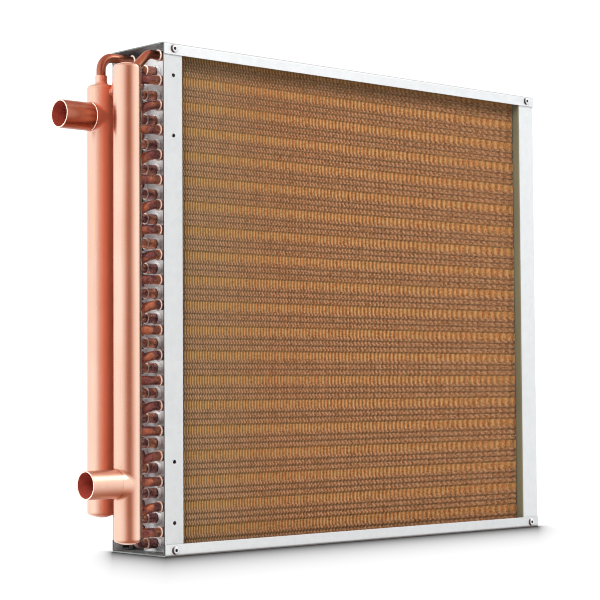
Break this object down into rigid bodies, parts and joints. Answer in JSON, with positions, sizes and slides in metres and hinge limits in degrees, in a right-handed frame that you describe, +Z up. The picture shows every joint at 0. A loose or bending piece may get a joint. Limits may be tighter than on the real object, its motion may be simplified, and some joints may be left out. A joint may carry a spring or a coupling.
{
  "type": "water to air heat exchanger coil",
  "caption": "Finned tube heat exchanger coil in a galvanised casing, with copper return bends, two headers and a bare copper port on each.",
  "frame": {"origin": "centre of the casing's underside", "axes": "+Z up, +Y from the pictured face towards the back, headers and ports on the -X side"},
  "size_m": [0.6465, 0.0918, 0.516],
  "materials": {
    "casing": "bright galvanised sheet, fine spangle, cut edges slightly darker",
    "rivet": "zinc-plated dome heads",
    "mandrel": "dark broken steel mandrel",
    "fin": "gold to copper coloured coated fin stock, rippled, satin",
    "coil_copper": "copper darkened by brazing heat, maroon to orange",
    "header_copper": "clean bright copper tube, satin, drawn lengthwise",
    "braze": "silvery phosphor copper filler bead"
  },
  "bodies": {
    "root": {"top_channel": "casing", "bottom_channel": "casing", "header_end_plate": "casing", "return_end_plate": "casing", "front_corner_rivets": "rivet", "rear_corner_rivets": "rivet", "rivet_mandrels": "mandrel", "fin_pack": "fin", "front_row_hairpins": "coil_copper", "middle_row_hairpins": "coil_copper", "rear_row_hairpins": "coil_copper", "diagonal_return_bends": "coil_copper", "cross_return_bends": "coil_copper", "front_header": "header_copper", "front_header_top_cap": "header_copper", "front_header_bottom_cap": "header_copper", "rear_header": "header_copper", "rear_header_reducer": "header_copper", "rear_header_bottom_cap": "header_copper", "front_header_feeders": "coil_copper", "front_header_top_feeder": "header_copper", "front_header_bottom_feeder": "coil_copper", "rear_header_feeders": "coil_copper", "rear_header_top_feeder": "header_copper", "rear_header_crossover": "coil_copper", "upper_port": "header_copper", "lower_port": "header_copper", "upper_port_braze_ring": "braze", "lower_port_braze_ring": "braze", "front_row_braze_rings": "braze", "middle_row_braze_rings": "braze", "rear_row_braze_rings": "braze"}
  },
  "joints": []
}
